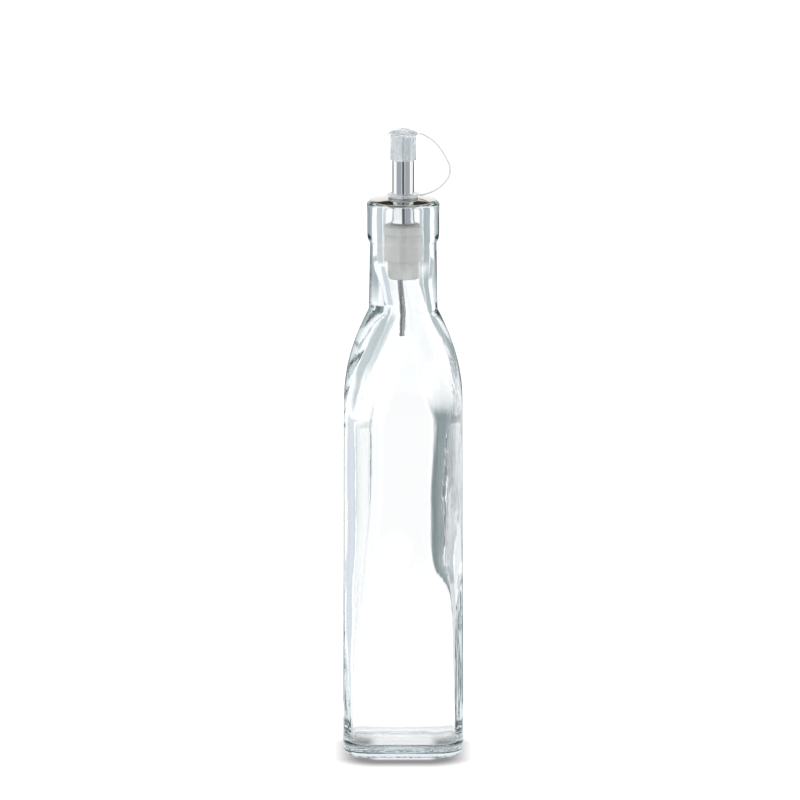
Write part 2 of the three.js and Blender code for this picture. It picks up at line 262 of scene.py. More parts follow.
def glass_inside():
    """Inside of the glass from the lip down to the middle of its floor."""
    base = BODY_HALF - WALL
    top = BODY_HALF - BODY_TAPER - WALL
    heel = base - INSIDE_HEEL_R
    rings = [(0, FLOOR + FLOOR_CROWN, 0)]
    rings.append((heel * 0.3, FLOOR + 0.95 * FLOOR_CROWN, heel * 0.3))
    rings.append((heel * 0.7, FLOOR + 0.6 * FLOOR_CROWN, heel * 0.5))
    corner = INSIDE_CORNER_R - INSIDE_HEEL_R
    turn = arc(heel, FLOOR + INSIDE_HEEL_R, INSIDE_HEEL_R, -90, 0, 6)
    rings += [(r, z, corner + r - heel) for r, z in turn]
    start = INSIDE_SHOULDER_START
    wall = straight((base, FLOOR + INSIDE_HEEL_R), (top, start), 24)[:-1]
    curve = shoulder(top, start, INSIDE_SHOULDER_R, THROAT_HALF, THROAT_ROOT_R, 16)
    for half, z in wall + curve:
        share = smoothstep(z, start - 8, curve[-1][1])
        rings.append((half, z, INSIDE_CORNER_R + (half - INSIDE_CORNER_R) * share))
    mouth_end = LIP_Z - MOUTH_DEPTH
    bore = straight(curve[-1], (THROAT_HALF, mouth_end - BORE_TAPER), 4)
    bore += straight((THROAT_HALF, mouth_end - BORE_TAPER), (MOUTH_HALF, mouth_end), 3)
    bore += straight((MOUTH_HALF, mouth_end), (MOUTH_HALF, LIP_Z - MOUTH_R), 8)[:-1]
    bore += arc(MOUTH_HALF + MOUTH_R, LIP_Z - MOUTH_R, MOUTH_R, 180, 90, 5)
    return (rings + [(half, z, half) for half, z in bore])[::-1]


def rounded_square(angle, half, corner):
    """Distance from the axis to a rounded square, in a direction."""
    across, up = sorted((abs(math.cos(angle)), abs(math.sin(angle))))
    flat = half - corner
    if half <= 0 or half / up * across <= flat:
        return half / up
    reach_in = flat * (across + up)
    return reach_in + math.sqrt(max(0.0, corner**2 - (2 * flat**2 - reach_in**2)))


def inside_corner(angle, half, z):
    """Corner radius of the inside, which wandered as the hot glass settled, more on the right side."""
    left = along(INSIDE_CORNER_LEFT, z)
    right = along(INSIDE_CORNER_RIGHT, z)
    corner = left + (right - left) * smoothstep(math.cos(angle), -0.4, 0.4)
    rounding = smoothstep(z, INSIDE_SHOULDER_START, INSIDE_SHOULDER_START + INSIDE_ROUNDING)
    return min(half, corner + (half - corner) * rounding)


def wave(place, size, seed):
    """A slow ripple, from -1 to 1."""
    return noise.noise(place / size + Vector((seed, seed, seed)))


def streak(angle, z, seed):
    """A ripple drawn out lengthways, from -1 to 1, as the mould leaves it in the skin of the glass."""
    place = Vector((3 * math.cos(angle), 3 * math.sin(angle), z / STREAK_LENGTH))
    return noise.noise(place + Vector((seed, seed, seed)))


def inside_unevenness(angle, place):
    """How far the inside of the glass, and the wall of its bore, stand out at a place."""
    z = place.z
    bored = smoothstep(z, LIP_Z - BORE_WAVES_FROM, LIP_Z - BORE_WAVES_FULL)
    waves = INSIDE_WAVE * wave(place, INSIDE_WAVE_LENGTH, INSIDE_WAVE_SEED)
    waves += INSIDE_STREAK * streak(angle, z, INSIDE_STREAK_SEED)
    bore_waves = BORE_WAVE * (1 + wave(place, BORE_WAVE_LENGTH, BORE_WAVE_SEED)) / 2
    low = smoothstep(z, FLOOR, 22) * (1 - bored) * waves
    return low + bored * (1 - smoothstep(z, LIP_Z - 3, LIP_Z - 1)) * bore_waves


def outside_unevenness(angle, place):
    """The same for the outside, which only ever falls short of its true size."""
    ease = smoothstep(place.z, 4, 22) * (1 - smoothstep(place.z, LIP_Z - 6, LIP_Z - 1))
    waves = GLASS_WAVE * (wave(place, GLASS_WAVE_LENGTH, GLASS_WAVE_SEED) - 1)
    return ease * (waves + GLASS_STREAK * (streak(angle, place.z, GLASS_STREAK_SEED) - 1))


def glass_bottle(material):
    """One closed shell: the outside, over the lip, and down the inside to the floor."""
    outside = glass_outside()
    rings = outside + glass_inside()
    bm = spun([(max(half, 0), z) for half, z, _ in rings], GLASS_SIDES, closed=False)
    point = bm.verts.layers.int["point"]
    for vert in bm.verts:
        half, z, corner = rings[vert[point]]
        if half == 0:
            continue
        angle = math.atan2(vert.co.y, vert.co.x)
        way = Vector((math.cos(angle), math.sin(angle), 0))
        height = Vector((0, 0, z))
        if vert[point] < len(outside):
            r = rounded_square(angle, half, corner)
            r += outside_unevenness(angle, way * r + height)
            vert.co = way * r + height
        else:
            r = rounded_square(angle, half, inside_corner(angle, half, z))
            r += inside_unevenness(angle, way * r + height)
            vert.co = way * r + height
            vert.co.x += along(INSIDE_OFFSET, z)
    made = piece(bm, "bottle_glass", material, "bottle", "glass", "glass_bottle")
    # Thick glass would shade an evenly lit table too widely, so the table's own material has a painted shade
    # instead.
    made.visible_diffuse = False
    made.visible_shadow = False
    smooth(made, 1)


# ---------- Pourer ----------
PLUG_LENGTH = 9.3
PLUG_R = 8.0
RIB_DEPTH = 0.6
SOCKET_R = 5.5
CHANNEL_R = 4.9
SPOUT_R = 5.4
SPOUT_WALL = 0.5
BEAD_RISE = 1.12
DISC_THICKNESS = 0.7
DISC_HOLE_R = 5.5
VENT_WALL = 0.4


def stopper_cork(material):
    """Two sealing ribs with a waist between them, a smooth nose, a socket and the pouring channel."""
    rib = STOPPER_R
    waist = rib - RIB_DEPTH
    nose = PLUG_R
    low = STOPPER_BOTTOM
    zone = low + PLUG_LENGTH
    top = STOPPER_TOP
    socket = SOCKET_R
    channel = CHANNEL_R
    outside = [(nose - 0.6, low), (nose - 0.15, low + 0.15), (nose, low + 0.7)]
    outside += [(nose, zone - 1.2), (nose, zone - 0.5), (nose + 0.3, zone - 0.3)]
    outside += [(rib - 0.3, zone), (rib - 0.05, zone + 0.12), (rib, zone + 0.5), (rib, zone + 4)]
    outside += [(rib, zone + 8.1), (rib - 0.1, zone + 8.6), (waist + 0.1, zone + 8.9), (waist, zone + 9.3)]
    outside += [(waist, zone + 12.6), (waist + 0.1, zone + 13), (rib - 0.1, zone + 13.2), (rib, zone + 13.6)]
    outside += [(rib, top - 1.3), (rib - 0.2, top - 0.7), (rib - 0.8, top - 0.1), (rib - 1.4, top)]
    outside += [(socket + 1.9, top), (socket + 1.1, top)]
    outside += [(socket + 0.4, top - 0.05), (socket + 0.05, top - 0.4)]
    inside = [(socket, top - 1.2), (socket, zone + 8), (socket, zone + 0.2), (socket - 0.05, zone)]
    inside += [(channel + 0.3, zone - 0.12), (channel + 0.05, zone - 0.2), (channel, zone - 0.6)]
    inside += [(channel, low + 4), (channel, low + 0.6), (channel + 0.1, low + 0.1), (channel + 0.4, low)]
    made = piece(spun(outside + inside, 48), "stopper_cork", material, "pourer", "stopper_plastic", "stopper")
    smooth(made, 1)


def spout_tube(material):
    """A polished tube with a swaged bead above the stopper and a softly turned mouth."""
    r = SPOUT_R
    inner = r - SPOUT_WALL
    middle = r - SPOUT_WALL / 2
    bead = STOPPER_TOP + BEAD_RISE
    mouth = SPOUT_MOUTH
    outside = [(r, SPOUT_BOTTOM + 0.1), (r, SPOUT_BOTTOM + 6), (r, bead - 1.4)]
    outside += [(r + 0.05, bead - 1), (r + 0.3, bead - 0.7), (BEAD_R, bead)]
    outside += [(r + 0.3, bead + 0.7), (r + 0.05, bead + 1), (r, bead + 1.4), (r, bead + 12)]
    outside += [(r, mouth - 1), (r, mouth - 0.3), (r - 0.08, mouth - 0.08), (middle, mouth)]
    inside = [(inner + 0.08, mouth - 0.08), (inner, mouth - 0.3), (inner, mouth - 1), (inner, bead)]
    inside += [(inner, SPOUT_BOTTOM + 0.1), (middle, SPOUT_BOTTOM)]
    made = piece(spun(outside + inside, 64), "spout", material, "pourer", "spout_steel", "spout_tube")
    smooth(made, 1)


def drip_disc(material):
    """A polished cover, slightly domed, whose edge turns down onto the lip."""
    thick = DISC_THICKNESS
    hole = DISC_HOLE_R
    rise = DISC_CROWN - DISC_EDGE - thick
    sphere = (rise**2 + (DISC_R**2 - hole**2)) / (2 * rise)

    def height(r):
        return math.sqrt(sphere**2 - r**2) - math.sqrt(sphere**2 - DISC_R**2)

    first = DISC_R - 0.9
    radii = [first - (first - hole - 0.3) * i / 10 for i in range(11)]
    above = [(r, DISC_EDGE + thick + height(r)) for r in radii]
    below = [(r, DISC_EDGE + height(r)) for r in reversed(radii)]
    rim = [(DISC_R - 0.45, DISC_EDGE + 0.02), (DISC_R - 0.1, DISC_EDGE + 0.12), (DISC_R, DISC_EDGE + 0.35)]
    rim += [(DISC_R - 0.12, DISC_EDGE + 0.6), (DISC_R - 0.5, DISC_EDGE + thick + 0.06)]
    bore = [(hole, DISC_CROWN - 0.15), (hole, DISC_CROWN - thick + 0.12)]
    bm = spun(below + rim + above + bore, 96)
    made = piece(bm, "drip_disc_cover", material, "pourer", "disc_steel", "drip_disc")
    smooth(made, 1)


def vent_tube(material):
    """A thin drawn tube, sawn off square."""
    outer = VENT_R
    inner = outer - VENT_WALL
    low = VENT_BOTTOM
    high = VENT_TOP
    outline = [(outer - 0.1, low), (outer, low + 0.1), (outer, low + 30)]
    outline += [(outer, high - 0.1), (outer - 0.1, high), (inner + 0.1, high), (inner, high - 0.1)]
    outline += [(inner, low + 30), (inner, low + 0.1), (inner + 0.1, low)]
    bm = spun(outline, 32)
    bmesh.ops.translate(bm, vec=Vector((VENT_AXIS.x, VENT_AXIS.y, 0)), verts=bm.verts)
    piece(bm, "vent_pipe", material, "pourer", "vent_steel", "vent_tube")


# ---------- Cap and tether ----------
CAP_BORE_R = 5.5
CAP_SKIRT_R = 6.45
CAP_DOME_EDGE = 0.75
FLANGE_DROP = 3.1
CAP_ROOF_GAP = 0.6
RING_BORE_R = 5.55
RING_MIDDLE = (RING_BOTTOM + RING_TOP) / 2
STRAP_HALF_THICKNESS = 0.45
STRAP_GAP = 0.15
STRAP_STEPS = 6
STRAP_END = CAP_CROWN - 2.75
# Points of the strap's bow: shares of its reach from the ring outward, and of its rise from ring to cap.
STRAP_BOW = [
    (0.0, 0.0), (0.187, 0.013), (0.487, 0.07), (0.747, 0.16), (0.947, 0.288), (1, 0.415),
    (0.947, 0.527), (0.747, 0.706), (0.487, 0.866), (0.153, 0.978), (-0.01, 1.0),
]


def spout_cap(material):
    """A domed cap with a thin flange and a plain skirt that ends in a rounded edge."""
    bore = CAP_BORE_R
    skirt = CAP_SKIRT_R
    low = CAP_OPEN
    flange = CAP_CROWN - FLANGE_DROP
    roof = SPOUT_MOUTH + CAP_ROOF_GAP
    outside = [(bore + 0.12, low + 0.02), (bore + 0.4, low), (skirt - 0.35, low + 0.02)]
    outside += [(skirt - 0.08, low + 0.15), (skirt, low + 0.5), (skirt, low + 1.2)]
    outside += [(skirt, flange - 1), (skirt, flange - 0.25), (skirt + 0.12, flange - 0.04)]
    outside += [(skirt + 0.5, flange + 0.04), (FLANGE_R - 0.4, flange + 0.06)]
    outside += [(FLANGE_R - 0.1, flange + 0.14), (FLANGE_R, flange + 0.35), (FLANGE_R - 0.12, flange + 0.6)]
    dome_r = FLANGE_R - 0.3
    rise = FLANGE_DROP - CAP_DOME_EDGE
    sphere = (rise**2 + dome_r**2) / (2 * rise)
    spread = math.degrees(math.asin(dome_r / sphere))
    outside += arc(0, CAP_CROWN - sphere, sphere, 90 - spread, 90, 10)[:-1] + [(0, CAP_CROWN)]
    inside = [(0, roof), (3, roof), (bore - 0.5, roof), (bore - 0.1, roof - 0.1)]
    inside += [(bore, roof - 0.5), (bore, flange - 3), (bore, low + 2), (bore, low + 0.3)]
    made = piece(spun(outside + inside, 48), "cap", material, "cap", "cap_plastic", "spout_cap")
    smooth(made, 1)


def tether_ring(material):
    """A flat soft ring with rounded edges."""
    inner = RING_BORE_R
    low = RING_BOTTOM
    high = RING_TOP
    outline = [(inner + 0.4, low), (inner + 0.9, low), (RING_R - 0.9, low), (RING_R - 0.35, low + 0.03)]
    outline += [(RING_R - 0.05, low + 0.3), (RING_R, RING_MIDDLE), (RING_R - 0.05, high - 0.3)]
    outline += [(RING_R - 0.35, high - 0.03), (RING_R - 0.9, high), (inner + 0.9, high), (inner + 0.4, high)]
    outline += [(inner + 0.05, high - 0.3), (inner, RING_MIDDLE), (inner + 0.05, low + 0.3)]
    made = piece(spun(outline, 48), "ring", material, "tether", "ring_plastic", "tether_ring")
    smooth(made, 1)


def between(before, here, there, after, t):
    """A point on the even curve through four points, between the middle two."""
    slope = there - before
    bend = 2 * before - 5 * here + 4 * there - after
    twist = 3 * here - before - 3 * there + after
    return 0.5 * (2 * here + slope * t + bend * t**2 + twist * t**3)


def strap_path():
    """The strap's middle line from the ring to the flange of the cap, as finely spaced points."""
    start = RING_R + STRAP_GAP
    reach_out = STRAP_REACH - STRAP_HALF_THICKNESS - start
    rise = STRAP_END - RING_MIDDLE
    bow = [Vector((start + reach_out * out, 0, RING_MIDDLE + rise * up)) for out, up in STRAP_BOW]
    last = len(bow) - 1
    path = []
    for i in range(last):
        four = [bow[max(0, min(last, i + k))] for k in (-1, 0, 1, 2)]
        path += [between(*four, step / STRAP_STEPS) for step in range(STRAP_STEPS)]
    return path + [bow[-1]]


def strap_frame(path, i):
    """Where the strap's section stands at a point of its path, its thickness in the bow, its width on Y."""
    ahead = (path[min(i + 1, len(path) - 1)] - path[max(i - 1, 0)]).normalized()
    side = Vector((0, 1, 0))
    across = side.cross(ahead)
    turn = Matrix((across, side, ahead)).transposed().to_4x4()
    return Matrix.Translation(path[i]) @ turn


def tether_strap(material):
    """A thin strap swept along its bow, held by the ring at one end and by the cap at the other."""
    path = strap_path()
    bm = bmesh.new()
    bmesh.ops.create_circle(bm, segments=16, radius=1)
    bmesh.ops.scale(bm, vec=Vector((STRAP_HALF_THICKNESS, STRAP_HALF_WIDTH, 1)), verts=bm.verts)
    bmesh.ops.transform(bm, matrix=strap_frame(path, 0), verts=bm.verts)
    ring = bm.edges[:]
    bmesh.ops.contextual_create(bm, geom=ring)
    for i in range(1, len(path)):
        grown = bmesh.ops.extrude_edge_only(bm, edges=ring)["geom"]
        verts = [g for g in grown if isinstance(g, bmesh.types.BMVert)]
        ring = [g for g in grown if isinstance(g, bmesh.types.BMEdge) and all(v in verts for v in g.verts)]
        step = strap_frame(path, i) @ strap_frame(path, i - 1).inverted()
        bmesh.ops.transform(bm, matrix=step, verts=verts)
    bmesh.ops.contextual_create(bm, geom=ring)
    made = piece(bm, "strap", material, None, "strap_plastic", "tether_strap")
    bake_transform(made)


# ---------- Materials ----------
GLASS_TINT = (0.5, 0.62, 0.66)
GLASS_DENSITY = 15
GLASS_RIPPLES = 200
GLASS_DRAW = 0.15
STIPPLES_PER_METRE = 700
STIPPLE_DEPTH = 2.5
GLASS_RELIEF = 0.1
SMUDGES_PER_METRE = 180
STEEL_LINES = 1800
POLISHED = (0.03, 0.12)
DULLED = (0.22, 0.4)
DRAWN_OUT = 0.02
EVEN = 1
PLASTIC_IOR = 1.5
PLASTIC_CLOUDS = 260
PLASTIC_MARKS = 300
PLASTIC_GRAIN = 300
PLASTIC_RELIEF = 0.005


def new_material(name):
    material = bpy.data.materials.new(name)
    material.use_nodes = True
    tree = material.node_tree
    return material, tree, tree.nodes["Principled BSDF"]


def new_group(name, inputs, output):
    """A shader node group with a place, some plain values and one value put out."""
    group = bpy.data.node_groups.new(name, "ShaderNodeTree")
    group.interface.new_socket("Place", in_out="INPUT", socket_type="NodeSocketVector")
    for label in inputs:
        group.interface.new_socket(label, in_out="INPUT", socket_type="NodeSocketFloat")
    group.interface.new_socket(output, in_out="OUTPUT", socket_type="NodeSocketFloat")
    return group, group.nodes.new("NodeGroupInput"), group.nodes.new("NodeGroupOutput")


def handling_group():
    """Roughness that varies in soft marks, as hands and cloths leave it, with finer specks in them."""
    group, given, put = new_group("handling_marks", ("Marks per Metre", "Least", "Most"), "Roughness")
    marks = group.nodes.new("ShaderNodeTexNoise")
    marks.inputs["Detail"].default_value = 6
    marks.inputs["Roughness"].default_value = 0.6
    spread = group.nodes.new("ShaderNodeMapRange")
    spread.interpolation_type = "SMOOTHSTEP"
    spread.inputs["From Min"].default_value = 0.35
    spread.inputs["From Max"].default_value = 0.68
    group.links.new(given.outputs["Place"], marks.inputs["Vector"])
    group.links.new(given.outputs["Marks per Metre"], marks.inputs["Scale"])
    group.links.new(marks.outputs["Fac"], spread.inputs["Value"])
    group.links.new(given.outputs["Least"], spread.inputs["To Min"])
    group.links.new(given.outputs["Most"], spread.inputs["To Max"])
    group.links.new(spread.outputs["Result"], put.inputs["Roughness"])
    return group


def skin_group():
    """Height of a fine uneven skin, stretched along Z where the stretch is under one."""
    group, given, put = new_group("uneven_skin", ("Ripples per Metre", "Stretch"), "Height")
    shape = group.nodes.new("ShaderNodeCombineXYZ")
    shape.inputs["X"].default_value = 1
    shape.inputs["Y"].default_value = 1
    stretch = group.nodes.new("ShaderNodeVectorMath")
    stretch.operation = "MULTIPLY"
    ripples = group.nodes.new("ShaderNodeTexNoise")
    ripples.inputs["Detail"].default_value = 3
    group.links.new(given.outputs["Stretch"], shape.inputs["Z"])
    group.links.new(given.outputs["Place"], stretch.inputs[0])
    group.links.new(shape.outputs["Vector"], stretch.inputs[1])
    group.links.new(stretch.outputs["Vector"], ripples.inputs["Vector"])
    group.links.new(given.outputs["Ripples per Metre"], ripples.inputs["Scale"])
    group.links.new(ripples.outputs["Fac"], put.inputs["Height"])
    return group


def place_group(tree, group, place, **values):
    """Places an effect in a material. A value's name is its socket's, with a low line for each space."""
    node = tree.nodes.new("ShaderNodeGroup")
    node.node_tree = group
    tree.links.new(place.outputs["Object"], node.inputs["Place"])
    for label, value in values.items():
        node.inputs[label.replace("_", " ")].default_value = value
    return node


def relief(tree, shader, height, depth):
    """Turns a height into a bump on a shader, with its depth in millimetres."""
    bump = tree.nodes.new("ShaderNodeBump")
    bump.inputs["Strength"].default_value = 1
    bump.inputs["Distance"].default_value = depth * MM
    tree.links.new(height, bump.inputs["Height"])
    tree.links.new(bump.outputs["Normal"], shader.inputs["Normal"])


def clear_glass(skin):
    """Bright soda glass with a faint blue-green tint, lightly drawn skin and a stippled base."""
    material, tree, shader = new_material("clear_glass")
    shader.inputs["Base Color"].default_value = (1, 1, 1, 1)
    shader.inputs["Roughness"].default_value = 0.0
    shader.inputs["IOR"].default_value = 1.5
    shader.inputs["Transmission Weight"].default_value = 1
    absorb = tree.nodes.new("ShaderNodeVolumeAbsorption")
    absorb.inputs["Color"].default_value = (*GLASS_TINT, 1)
    absorb.inputs["Density"].default_value = GLASS_DENSITY
    tree.links.new(absorb.outputs["Volume"], tree.nodes["Material Output"].inputs["Volume"])
    place = tree.nodes.new("ShaderNodeTexCoord")
    drawn = place_group(tree, skin, place, Ripples_per_Metre=GLASS_RIPPLES, Stretch=GLASS_DRAW)
    stipple = tree.nodes.new("ShaderNodeTexVoronoi")
    stipple.inputs["Scale"].default_value = STIPPLES_PER_METRE
    parts = tree.nodes.new("ShaderNodeSeparateXYZ")
    base = tree.nodes.new("ShaderNodeMapRange")
    base.inputs["From Min"].default_value = 1.1 * PUNT * MM
    base.inputs["From Max"].default_value = 0.5 * PUNT * MM
    base.inputs["To Max"].default_value = STIPPLE_DEPTH
    stippled = tree.nodes.new("ShaderNodeMath")
    stippled.operation = "MULTIPLY_ADD"
    tree.links.new(place.outputs["Object"], stipple.inputs["Vector"])
    tree.links.new(place.outputs["Object"], parts.inputs["Vector"])
    tree.links.new(parts.outputs["Z"], base.inputs["Value"])
    tree.links.new(stipple.outputs["Distance"], stippled.inputs[0])
    tree.links.new(base.outputs["Result"], stippled.inputs[1])
    tree.links.new(drawn.outputs["Height"], stippled.inputs[2])
    relief(tree, shader, stippled.outputs["Value"], GLASS_RELIEF)
    return material


def polished_steel(name, color, marks, skin, roughness, stretch, depth):
    """Stainless steel with smudges from handling. Its skin is drawn into lines where the stretch is small."""
    material, tree, shader = new_material(name)
    shader.inputs["Base Color"].default_value = (*color, 1)
    shader.inputs["Metallic"].default_value = 1
    place = tree.nodes.new("ShaderNodeTexCoord")
    least, most = roughness
    smudges = place_group(tree, marks, place, Marks_per_Metre=SMUDGES_PER_METRE, Least=least, Most=most)
    tree.links.new(smudges.outputs["Roughness"], shader.inputs["Roughness"])
    lines = place_group(tree, skin, place, Ripples_per_Metre=STEEL_LINES, Stretch=stretch)
    relief(tree, shader, lines.outputs["Height"], depth)
    return material


def soft_plastic(name, color, clearness, marks, skin, roughness):
    """Soft translucent plastic with a finely textured moulded skin, whiter and duller in patches."""
    material, tree, shader = new_material(name)
    shader.inputs["IOR"].default_value = PLASTIC_IOR
    shader.inputs["Transmission Weight"].default_value = clearness
    place = tree.nodes.new("ShaderNodeTexCoord")
    haze = tree.nodes.new("ShaderNodeTexNoise")
    haze.inputs["Scale"].default_value = PLASTIC_CLOUDS
    cloud = tree.nodes.new("ShaderNodeMix")
    cloud.data_type = "RGBA"
    cloud.inputs["A"].default_value = (*[0.93 * part for part in color], 1)
    cloud.inputs["B"].default_value = (*[min(1, 1.07 * part) for part in color], 1)
    tree.links.new(place.outputs["Object"], haze.inputs["Vector"])
    tree.links.new(haze.outputs["Fac"], cloud.inputs["Factor"])
    tree.links.new(cloud.outputs["Result"], shader.inputs["Base Color"])
    least, most = roughness
    worn = place_group(tree, marks, place, Marks_per_Metre=PLASTIC_MARKS, Least=least, Most=most)
    tree.links.new(worn.outputs["Roughness"], shader.inputs["Roughness"])
    moulded = place_group(tree, skin, place, Ripples_per_Metre=PLASTIC_GRAIN, Stretch=EVEN)
    relief(tree, shader, moulded.outputs["Height"], PLASTIC_RELIEF)
    return material


# ---------- Studio ----------
# Bearings are degrees clockwise from the back (+Y).
ROOM_LIGHT = 1.3
CARD_SOFTNESS = 0.35
CARD_FADE = 0.02
CARD_STEPS = 24
# How often light may have been mirrored, or may have crossed glass, to see a card.
MANY = 30
NEVER = (0, 0)
ONCE = (1, 1)
ONCE_AT_MOST = (0, 1)
SOMETIMES = (1, MANY)
TWICE_OR_MORE = (2, MANY)
THRICE_OR_MORE = (3, MANY)
ANYHOW = (0, MANY)
TABLE_R = 3.5
# The shade round the foot of the bottle and the light under its middle are painted into the table's colour.
PAINTED_SHADE_REACH = 14
PAINTED_SHADE_DEPTH = 0.22
TABLE_WHITE = 0.9
PAINTED_LIGHT_UNDER = 0.7
PAINTED_SHADE_FORWARD = 9
PAINTED_SHADE_DRAWN_IN = 5


def worked(tree, kind, operation, *values):
    """A Math or Vector Math node. Each value is a number, a vector or another node's output."""
    node = tree.nodes.new(kind)
    node.operation = operation
    for socket, value in zip(node.inputs, values):
        if isinstance(value, bpy.types.NodeSocket):
            tree.links.new(value, socket)
        else:
            socket.default_value = value
    return node


def maths(tree, operation, *values):
    return worked(tree, "ShaderNodeMath", operation, *values).outputs["Value"]


def vectors(tree, operation, *values):
    return worked(tree, "ShaderNodeVectorMath", operation, *values).outputs["Vector"]


def eased(tree, value, start, end, low=0.0, high=1.0):
    """A value eased from low to high while the one given goes from start to end."""
    node = tree.nodes.new("ShaderNodeMapRange")
    node.interpolation_type = "SMOOTHSTEP"
    node.inputs["From Min"].default_value = start
    node.inputs["From Max"].default_value = end
    node.inputs["To Min"].default_value = low
    node.inputs["To Max"].default_value = high
    tree.links.new(value, node.inputs["Value"])
    return node.outputs["Result"]


def card_share(tree, bearing, half, low, high):
    """How much of a card's own colour shows: all in its middle, none at its soft edges."""
    place = tree.nodes.new("ShaderNodeTexCoord").outputs["Object"]
    level = vectors(tree, "MULTIPLY", place, (1, 1, 0))
    aim = vectors(tree, "NORMALIZE", level)
    middle = (math.sin(bearing), math.cos(bearing), 0)
    spread = worked(tree, "ShaderNodeVectorMath", "DOT_PRODUCT", aim, middle).outputs["Value"]
    share = eased(tree, spread, math.cos(half), math.cos(half * (1 - CARD_SOFTNESS)))
    parts = tree.nodes.new("ShaderNodeSeparateXYZ")
    tree.links.new(place, parts.inputs["Vector"])
    if low > 0:
        share = maths(tree, "MULTIPLY", share, eased(tree, parts.outputs["Z"], low, low + CARD_FADE))
    return maths(tree, "MULTIPLY", share, eased(tree, parts.outputs["Z"], high, high - CARD_FADE))


def card_seen(tree, mirrorings, crossings):
    """One where light was mirrored, and crossed glass, as many times as a card asks and met nothing matt."""
    path = tree.nodes.new("ShaderNodeLightPath")
    counts = []
    for count, (least, most) in (("Glossy Depth", mirrorings), ("Transmission Depth", crossings)):
        middle = (least + most) / 2
        counts.append(maths(tree, "COMPARE", path.outputs[count], middle, (most - least + 1) / 2))
    both = maths(tree, "MULTIPLY", *counts)
    seen = worked(tree, "ShaderNodeMath", "SUBTRACT", both, path.outputs["Diffuse Depth"])
    seen.use_clamp = True
    return seen.outputs["Value"]


def glow(name, color, bearing, half, low, high, mirrorings, crossings):
    """A card's own light, which fades into the room's at its edges.

    Matt surfaces look through it, so that they keep the light of the room. Only light that was mirrored and
    that crossed glass surfaces at least and at most so many times sees it: bare metal crosses none.
    """
    material = bpy.data.materials.new(name)
    material.use_nodes = True
    tree = material.node_tree
    tree.nodes.clear()
    tint = tree.nodes.new("ShaderNodeMix")
    tint.data_type = "RGBA"
    tint.inputs["A"].default_value = (ROOM_LIGHT, ROOM_LIGHT, ROOM_LIGHT, 1)
    tint.inputs["B"].default_value = (*color, 1)
    light = tree.nodes.new("ShaderNodeEmission")
    clear = tree.nodes.new("ShaderNodeBsdfTransparent")
    mix = tree.nodes.new("ShaderNodeMixShader")
    out = tree.nodes.new("ShaderNodeOutputMaterial")
    tree.links.new(card_share(tree, bearing, half, low, high), tint.inputs["Factor"])
    tree.links.new(tint.outputs["Result"], light.inputs["Color"])
    tree.links.new(card_seen(tree, mirrorings, crossings), mix.inputs["Fac"])
    tree.links.new(clear.outputs["BSDF"], mix.inputs[1])
    tree.links.new(light.outputs["Emission"], mix.inputs[2])
    tree.links.new(mix.outputs["Shader"], out.inputs["Surface"])
    return material


def stage_object(name, bm, material):
    """Turns a bmesh in metres into something of the studio, which isn't part of the bottle."""
    mesh = bpy.data.meshes.new(name)
    bm.to_mesh(mesh)
    bm.free()
    made = bpy.data.objects.new(name, mesh)
    bpy.context.scene.collection.objects.link(made)
    made.data.materials.append(material)
    return made


def card(name, start, end, low, high, color, distance, mirrorings, crossings=ANYHOW):
    """An upright curved card round the bottle, from one bearing to another and from low to high.

    Polished metal mirrors it, or the glass bends it into view; no camera sees it and it casts no shade.
    """
    bm = bmesh.new()
    turn = math.radians(90 - start)
    foot = bm.verts.new((distance * math.cos(turn), distance * math.sin(turn), low))
    head = bm.verts.new((distance * math.cos(turn), distance * math.sin(turn), high))
    edge = bm.edges.new((foot, head))
    sweep = -math.radians(end - start)
    bmesh.ops.spin(bm, geom=[foot, head, edge], cent=(0, 0, 0), axis=UP, angle=sweep, steps=CARD_STEPS)
    bearing = math.radians((start + end) / 2)
    half = math.radians((end - start) / 2)
    made = stage_object(name, bm, glow(name, color, bearing, half, low, high, mirrorings, crossings))
    made.visible_camera = False
    made.visible_diffuse = False
    made.visible_shadow = False
    made.visible_volume_scatter = False


def pale_table():
    """Matt white, with a painted shade round the foot of the bottle and painted light under its middle."""
    material, tree, shader = new_material("pale_table")
    shader.inputs["Roughness"].default_value = 0.9
    shader.inputs["Specular IOR Level"].default_value = 0
    place = tree.nodes.new("ShaderNodeTexCoord")
    # The painted shade is centred a little in front of the bottle.
    forward = tree.nodes.new("ShaderNodeMapping")
    forward.inputs["Location"].default_value = (0, PAINTED_SHADE_FORWARD * MM, 0)
    tree.links.new(place.outputs["Object"], forward.inputs["Vector"])
    flat = (BODY_HALF - CORNER_R) * MM
    rounding = (CORNER_R - HEEL_R) * MM
    fold = vectors(tree, "ABSOLUTE", forward.outputs["Vector"])
    corner = vectors(tree, "SUBTRACT", fold, (flat - PAINTED_SHADE_DRAWN_IN * MM, flat, 0))
    beyond = vectors(tree, "MAXIMUM", corner, (0, 0, 0))
    away = worked(tree, "ShaderNodeVectorMath", "LENGTH", beyond).outputs["Value"]
    # Painted shade round the foot of the bottle, and painted light under its middle.
    shade = eased(tree, away, rounding, (CORNER_R + PAINTED_SHADE_REACH) * MM, PAINTED_SHADE_DEPTH, TABLE_WHITE)
    under = eased(tree, away, 0, rounding, PAINTED_LIGHT_UNDER, 0)
    tree.links.new(maths(tree, "MAXIMUM", shade, under), shader.inputs["Base Color"])
    return material


